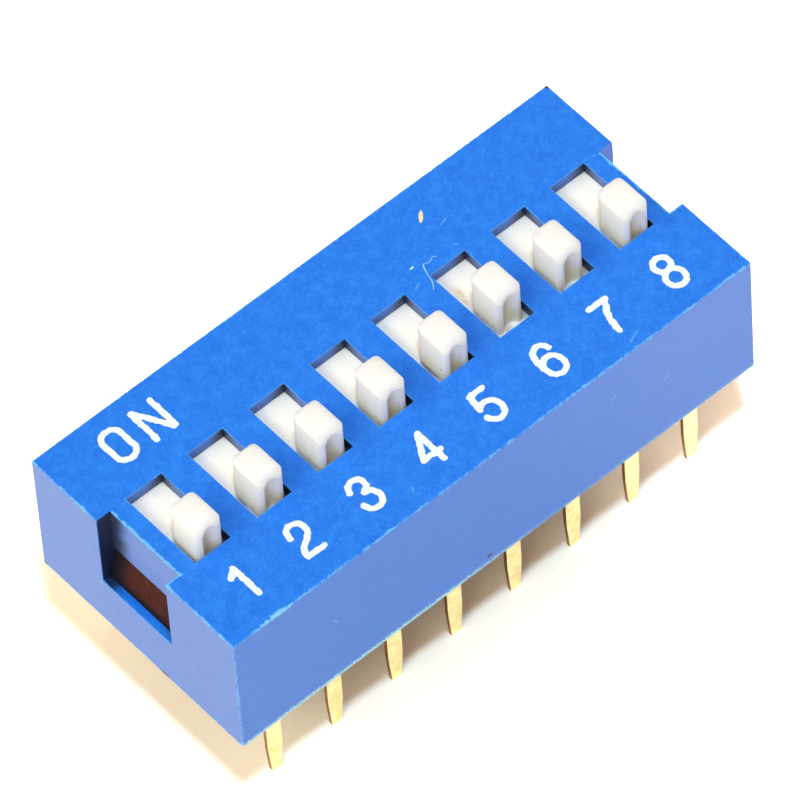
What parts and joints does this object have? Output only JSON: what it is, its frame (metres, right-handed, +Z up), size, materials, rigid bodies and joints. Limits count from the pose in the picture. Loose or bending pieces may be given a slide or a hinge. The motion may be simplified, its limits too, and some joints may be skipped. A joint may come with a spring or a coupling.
{
  "type": "dip switch",
  "caption": "Slide DIP switch for through-hole mounting: a moulded cover with slots, a raised lever in each, and two rows of flat tapered pins.",
  "frame": {"origin": "middle of the cover's bottom rim, the face that seats on a circuit board", "axes": "+X along the row from position 1 to the last, +Y from OFF to ON, +Z up through the levers"},
  "size_m": [0.0218, 0.0098, 0.0111],
  "materials": {
    "cover_plastic": "moulded, satin, blue",
    "base_plastic": "moulded, matte, dark red-brown",
    "lever_plastic": "moulded, smooth, white",
    "contact_metal": "gold-plated"
  },
  "bodies": {
    "housing": {"cover": "cover_plastic", "base": "base_plastic", "terminal_front_1": "contact_metal", "terminal_front_2": "contact_metal", "terminal_front_3": "contact_metal", "terminal_front_4": "contact_metal", "terminal_front_5": "contact_metal", "terminal_front_6": "contact_metal", "terminal_front_7": "contact_metal", "terminal_front_8": "contact_metal", "terminal_rear_1": "contact_metal", "terminal_rear_2": "contact_metal", "terminal_rear_3": "contact_metal", "terminal_rear_4": "contact_metal", "terminal_rear_5": "contact_metal", "terminal_rear_6": "contact_metal", "terminal_rear_7": "contact_metal", "terminal_rear_8": "contact_metal"},
    "position_1": {"slider_1": "lever_plastic", "contact_clip_1": "contact_metal"},
    "position_2": {"slider_2": "lever_plastic", "contact_clip_2": "contact_metal"},
    "position_3": {"slider_3": "lever_plastic", "contact_clip_3": "contact_metal"},
    "position_4": {"slider_4": "lever_plastic", "contact_clip_4": "contact_metal"},
    "position_5": {"slider_5": "lever_plastic", "contact_clip_5": "contact_metal"},
    "position_6": {"slider_6": "lever_plastic", "contact_clip_6": "contact_metal"},
    "position_7": {"slider_7": "lever_plastic", "contact_clip_7": "contact_metal"},
    "position_8": {"slider_8": "lever_plastic", "contact_clip_8": "contact_metal"}
  },
  "joints": [
    {"name": "lever_1_slide", "type": "slide", "parent": "housing", "child": "position_1", "axis": [0, 1, 0], "range_m": [0, 0.00183]},
    {"name": "lever_2_slide", "type": "slide", "parent": "housing", "child": "position_2", "axis": [0, 1, 0], "range_m": [-0.00008, 0.00175]},
    {"name": "lever_3_slide", "type": "slide", "parent": "housing", "child": "position_3", "axis": [0, 1, 0], "range_m": [-0.00004, 0.00179]},
    {"name": "lever_4_slide", "type": "slide", "parent": "housing", "child": "position_4", "axis": [0, 1, 0], "range_m": [-0.00002, 0.00181]},
    {"name": "lever_5_slide", "type": "slide", "parent": "housing", "child": "position_5", "axis": [0, 1, 0], "range_m": [0, 0.00183]},
    {"name": "lever_6_slide", "type": "slide", "parent": "housing", "child": "position_6", "axis": [0, 1, 0], "range_m": [-0.0003, 0.00153]},
    {"name": "lever_7_slide", "type": "slide", "parent": "housing", "child": "position_7", "axis": [0, 1, 0], "range_m": [-0.00019, 0.00164]},
    {"name": "lever_8_slide", "type": "slide", "parent": "housing", "child": "position_8", "axis": [0, 1, 0], "range_m": [0, 0.00183]}
  ]
}
